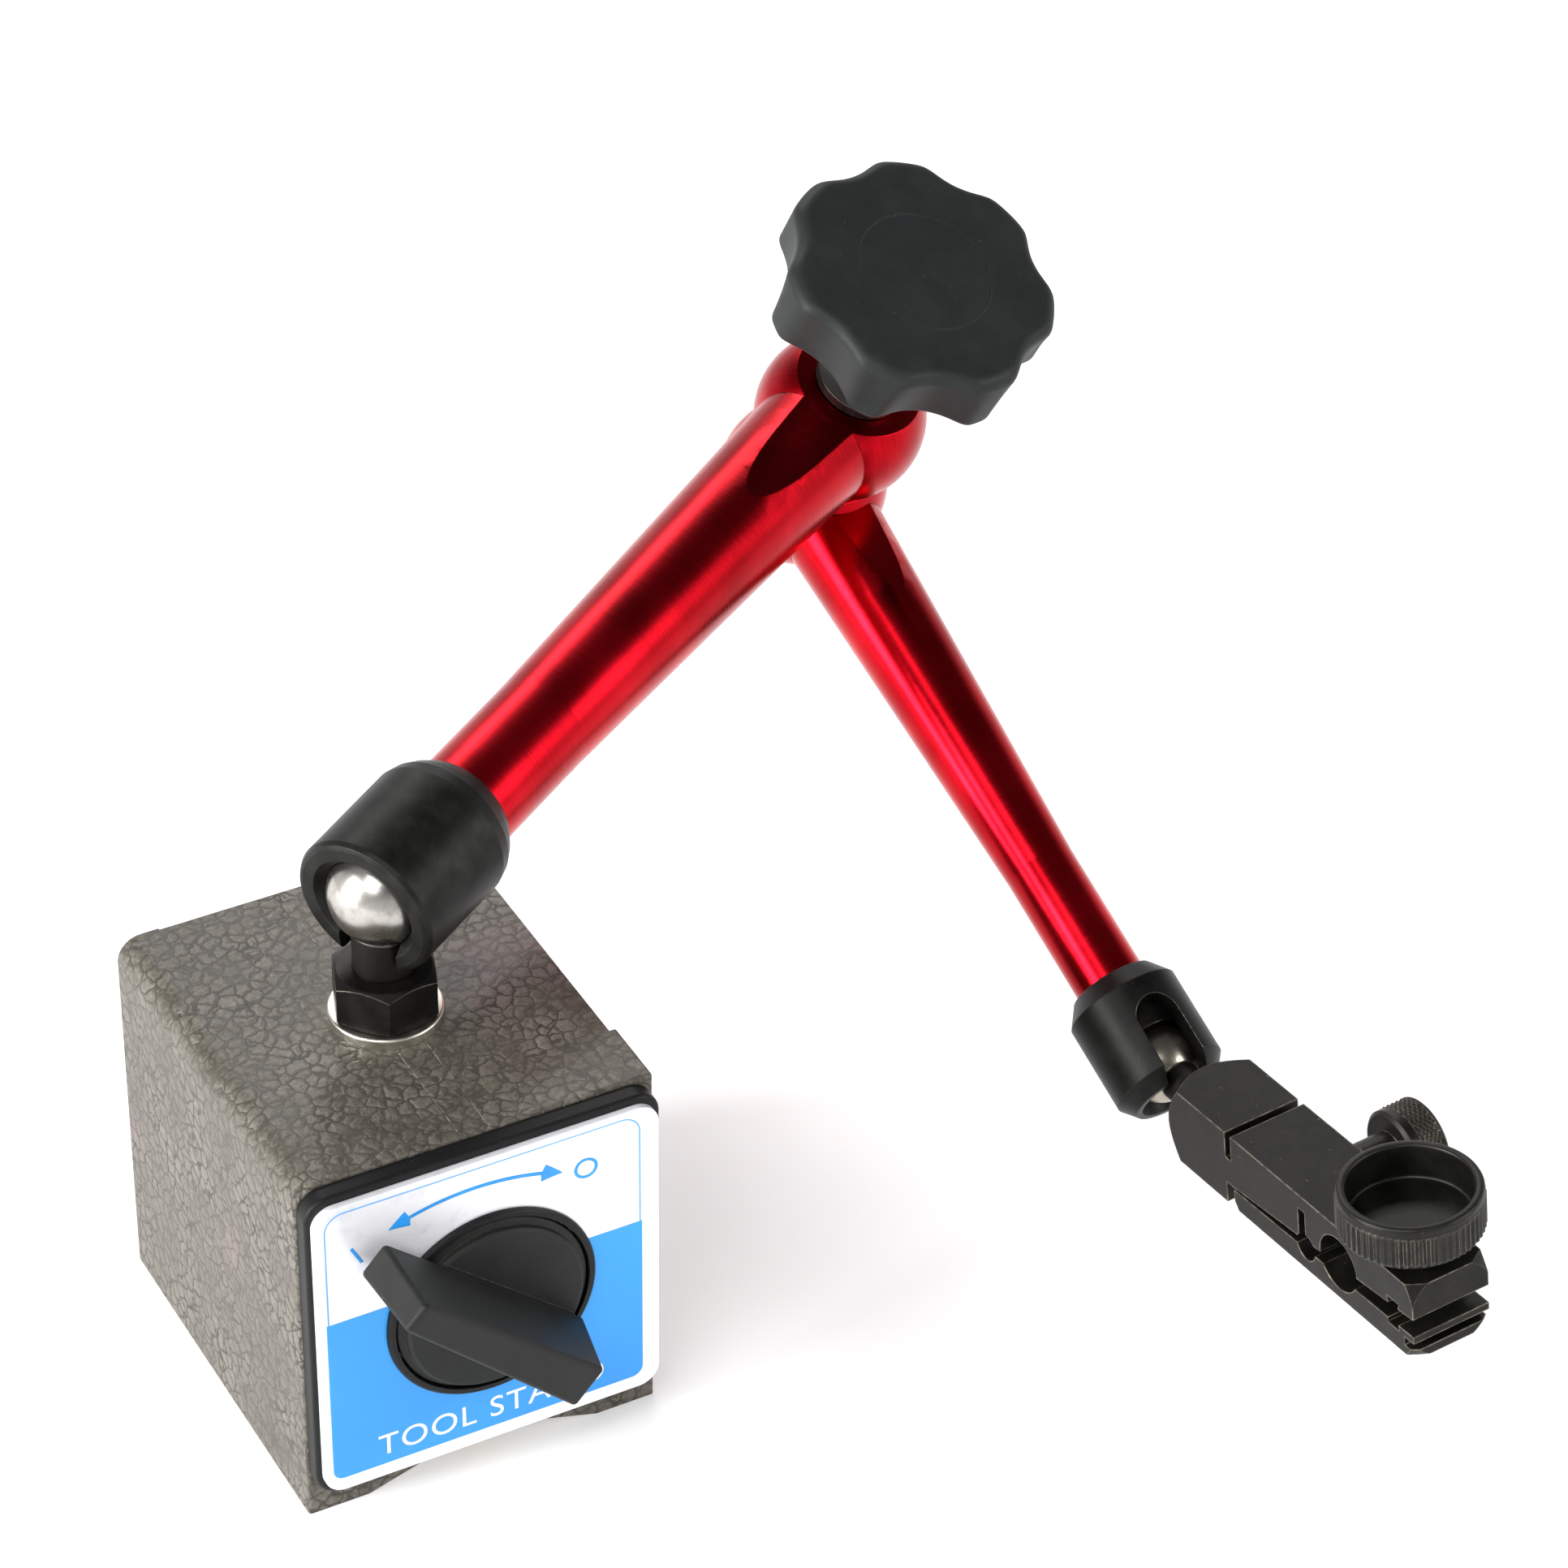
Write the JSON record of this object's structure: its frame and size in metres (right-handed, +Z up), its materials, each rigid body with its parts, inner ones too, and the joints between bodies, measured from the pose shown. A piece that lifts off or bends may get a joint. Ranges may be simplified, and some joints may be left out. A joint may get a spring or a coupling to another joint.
{
  "type": "indicator stand on magnetic base",
  "caption": "Switchable magnetic base with a jointed arm locked by one central knob, ending in a fine-adjustment clamp for a dial indicator.",
  "frame": {"origin": "on the plane of the two pole faces, straight under the stud of the lower ball joint", "axes": "+Z up out of the base's top, -Y out of the front plate with the switch, +X to the right seen from the front"},
  "size_m": [0.1443, 0.1662, 0.1252],
  "materials": {
    "hammered_paint": "hammer finish",
    "brass": "milled",
    "bush_bronze": "sintered",
    "black_plastic": "moulded",
    "handle_plastic": "moulded, scuffed edges",
    "printed_face": "printed sheet in silver and blue",
    "bearing_disc": "turned",
    "zinc_steel": "zinc plated",
    "black_steel": "black oxide, worn at the edges",
    "bright_steel": "ground and polished",
    "dull_steel": "turned",
    "magnet": "sintered ferrite",
    "soft_iron": "turned",
    "aluminium": "die cast",
    "red_anodised": "red anodised",
    "spring_steel": "drawn wire",
    "knob_plastic": "moulded",
    "knurled_steel": "dark plated, knurled"
  },
  "bodies": {
    "base": {"left_pole": "hammered_paint", "right_pole": "hammered_paint", "brass_divider": "brass", "rear_cover": "hammered_paint", "rear_bush": "bush_bronze", "front_bearing_disc": "bearing_disc", "front_bush": "bush_bronze", "front_bezel": "black_plastic", "bezel_screws": "zinc_steel", "printed_plate": "printed_face", "stud_washer": "zinc_steel", "stud_nut": "black_steel"},
    "switch": {"switch_handle": "handle_plastic", "switch_shaft": "dull_steel", "rotor_front_cap": "aluminium", "rotor_rear_cap": "aluminium", "rotor_magnet": "magnet", "rotor_shoes": "soft_iron", "rotor_rivets": "dull_steel"},
    "stud": {"ball_stud": "bright_steel"},
    "lower_arm": {"lower_socket": "black_steel", "lower_tube": "red_anodised", "lower_hub": "red_anodised", "friction_washer": "brass", "release_spring": "spring_steel", "thrust_sleeve": "dull_steel", "lower_push_rod": "dull_steel", "lower_ball_pad": "dull_steel"},
    "knob": {"knob_body": "knob_plastic", "knob_insert": "brass", "knob_cap": "knob_plastic"},
    "upper_arm": {"upper_tube": "red_anodised", "upper_hub": "red_anodised", "upper_socket": "black_steel", "clamp_bolt": "black_steel", "upper_push_rod": "dull_steel", "upper_ball_pad": "dull_steel"},
    "pin": {"ball_pin": "dull_steel"},
    "holder": {"holder_body": "black_steel"},
    "jaw": {"lower_jaw": "black_steel"},
    "clamp_screw": {"clamp_screw": "dull_steel", "clamp_knob": "knurled_steel"},
    "fine": {"fine_screw": "dull_steel", "fine_knob": "knurled_steel"}
  },
  "joints": [
    {"name": "switch_turn", "type": "hinge", "parent": "base", "child": "switch", "pos_m": [0, 0, 0.0296], "axis": [0, 1, 0], "range_deg": [0, 95]},
    {"name": "arm_swivel", "type": "hinge", "parent": "base", "child": "stud", "pos_m": [0, 0, 0.075], "axis": [0, 0, 1], "continuous": true},
    {"name": "arm_tilt", "type": "hinge", "parent": "stud", "child": "lower_arm", "pos_m": [0, 0, 0.075], "axis": [0.4924, -0.8704, 0], "range_deg": [-5, 98]},
    {"name": "elbow", "type": "hinge", "parent": "lower_arm", "child": "upper_arm", "pos_m": [0.09501, 0.05376, 0.08724], "axis": [0.1295, -0.4322, 0.8924], "range_deg": [-32, 110]},
    {"name": "knob_turn", "type": "hinge", "parent": "lower_arm", "child": "knob", "pos_m": [0.09501, 0.05376, 0.08724], "axis": [0.1295, -0.4322, 0.8924], "range_deg": [0, 360]},
    {"name": "wrist_tilt", "type": "hinge", "parent": "upper_arm", "child": "pin", "pos_m": [0.10065, -0.02808, 0.02909], "axis": [-0.9966, -0.0573, -0.0584], "range_deg": [-52, 52]},
    {"name": "holder_twist", "type": "hinge", "parent": "pin", "child": "holder", "pos_m": [0.10065, -0.02808, 0.02909], "axis": [0.0515, -0.9939, 0.0977], "continuous": true},
    {"name": "clamp_turn", "type": "hinge", "parent": "holder", "child": "clamp_screw", "pos_m": [0.10359, -0.08493, 0.03468], "axis": [0.0637, -0.0944, -0.9935], "range_deg": [0, 744]},
    {"name": "jaw_rock", "type": "hinge", "parent": "holder", "child": "jaw", "pos_m": [0.10215, -0.05388, 0.02887], "axis": [-0.9966, -0.0573, -0.0584], "range_deg": [0, 3.01]},
    {"name": "fine_turn", "type": "hinge", "parent": "holder", "child": "fine", "pos_m": [0.10242, -0.0652, 0.03535], "axis": [0.9966, 0.0573, 0.0584], "range_deg": [-360, 360]}
  ],
  "couplings": [
    {"joint": "jaw_rock", "follows": "clamp_turn", "ratio": 0.004042}
  ]
}
